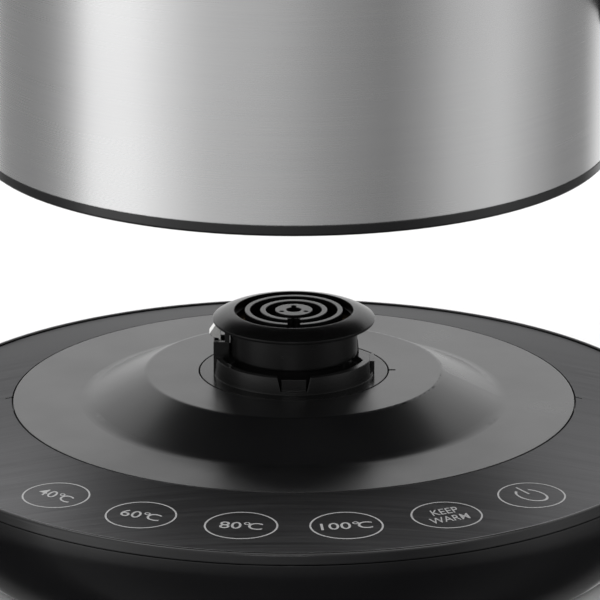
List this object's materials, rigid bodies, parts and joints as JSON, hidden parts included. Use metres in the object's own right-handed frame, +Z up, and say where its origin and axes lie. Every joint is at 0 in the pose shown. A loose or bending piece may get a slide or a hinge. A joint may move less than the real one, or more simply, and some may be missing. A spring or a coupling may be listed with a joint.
{
  "type": "electric kettle",
  "caption": "Electric kettle with a brushed steel body, loop handle and hinged lid, lifted above a round cordless power base with a central contact socket and touch keys.",
  "frame": {"origin": "on the table at the centre of the power base's rubber ring, below the connector's axis", "axes": "+Z up along the connector's axis; the touch keys face -Y; the handle points to +X and the spout to -X"},
  "size_m": [0.2273, 0.1946, 0.2885],
  "materials": {
    "satin_black": "satin",
    "gloss_black": "gloss",
    "rubber_black": "matt",
    "body_steel": "brushed round the body",
    "dark_brushed": "dark, brushed in straight lines",
    "screw_steel": "plated",
    "spring_steel": "drawn wire",
    "contact_brass": "pressed",
    "contact_plated": "nickel plated",
    "cast_aluminium": "cast",
    "board_green": "satin",
    "transformer_yellow": "matt tape",
    "block_cream": "matt",
    "seal_grey": "matt",
    "lamp_white": "diffuse"
  },
  "bodies": {
    "power_base": {"base_foot_ring": "rubber_black", "base_lower_housing": "satin_black", "base_screws": "screw_steel", "base_upper_housing": "gloss_black", "board_screws": "screw_steel", "brushed_top_plate": "dark_brushed", "buzzer": "gloss_black", "centre_disc": "satin_black", "connector_base": "satin_black", "connector_body": "satin_black", "connector_cap": "satin_black", "contact_live": "contact_brass", "contact_neutral": "contact_brass", "contact_sensor": "contact_brass", "cord_gland": "rubber_black", "earth_post": "satin_black", "key_electrodes": "contact_plated", "key_lamps": "lamp_white", "power_board": "board_green", "power_relay": "gloss_black", "power_transformer": "transformer_yellow", "terminal_block": "block_cream", "touch_board": "board_green"},
    "earth_finger": {"earth_contact": "contact_plated"},
    "socket": {"socket_rings": "contact_plated"},
    "kettle": {"bottom_cover": "satin_black", "bottom_screws": "screw_steel", "bottom_trim_ring": "gloss_black", "button_spring": "spring_steel", "handle_inner_shell": "satin_black", "handle_outer_shell": "satin_black", "handle_screws": "screw_steel", "handle_spine": "satin_black", "heat_spreader": "cast_aluminium", "heating_element": "cast_aluminium", "hinge_pin": "screw_steel", "lid_spring": "spring_steel", "sensor_seal": "seal_grey", "socket_housing": "satin_black", "spout": "body_steel", "spout_filter": "body_steel", "steel_body": "body_steel", "temperature_sensor": "body_steel", "thermal_control": "satin_black", "top_collar": "satin_black", "vessel_floor": "body_steel"},
    "lid": {"lid_cap": "satin_black", "lid_seal": "seal_grey", "lid_inner_plate": "body_steel"},
    "button": {"lid_button": "gloss_black"},
    "latch": {"lid_latch": "satin_black"}
  },
  "joints": [
    {"name": "kettle_lift", "type": "slide", "parent": "power_base", "child": "socket", "axis": [0, 0, 1], "range_m": [-0.06596, 0.034]},
    {"name": "kettle_swivel", "type": "hinge", "parent": "socket", "child": "kettle", "pos_m": [0, 0, 0.11], "axis": [0, 0, 1], "continuous": true},
    {"name": "lid_hinge", "type": "hinge", "parent": "kettle", "child": "lid", "pos_m": [0.057, 0, 0.28496], "axis": [0, 1, 0], "range_deg": [0, 85]},
    {"name": "lid_button_press", "type": "slide", "parent": "kettle", "child": "button", "axis": [0, 0, -1], "range_m": [0, 0.003], "stiffness_N_per_m": 300, "springref_m": -0.001, "deforming": ["button_spring"]},
    {"name": "lid_latch_slide", "type": "slide", "parent": "kettle", "child": "latch", "axis": [1, 0, 0], "range_m": [0, 0.003]},
    {"name": "earth_contact_press", "type": "slide", "parent": "power_base", "child": "earth_finger", "axis": [1, 0, 0], "range_m": [0, 0.0009], "stiffness_N_per_m": 400}
  ],
  "couplings": [
    {"joint": "lid_latch_slide", "follows": "lid_button_press", "ratio": 1}
  ]
}
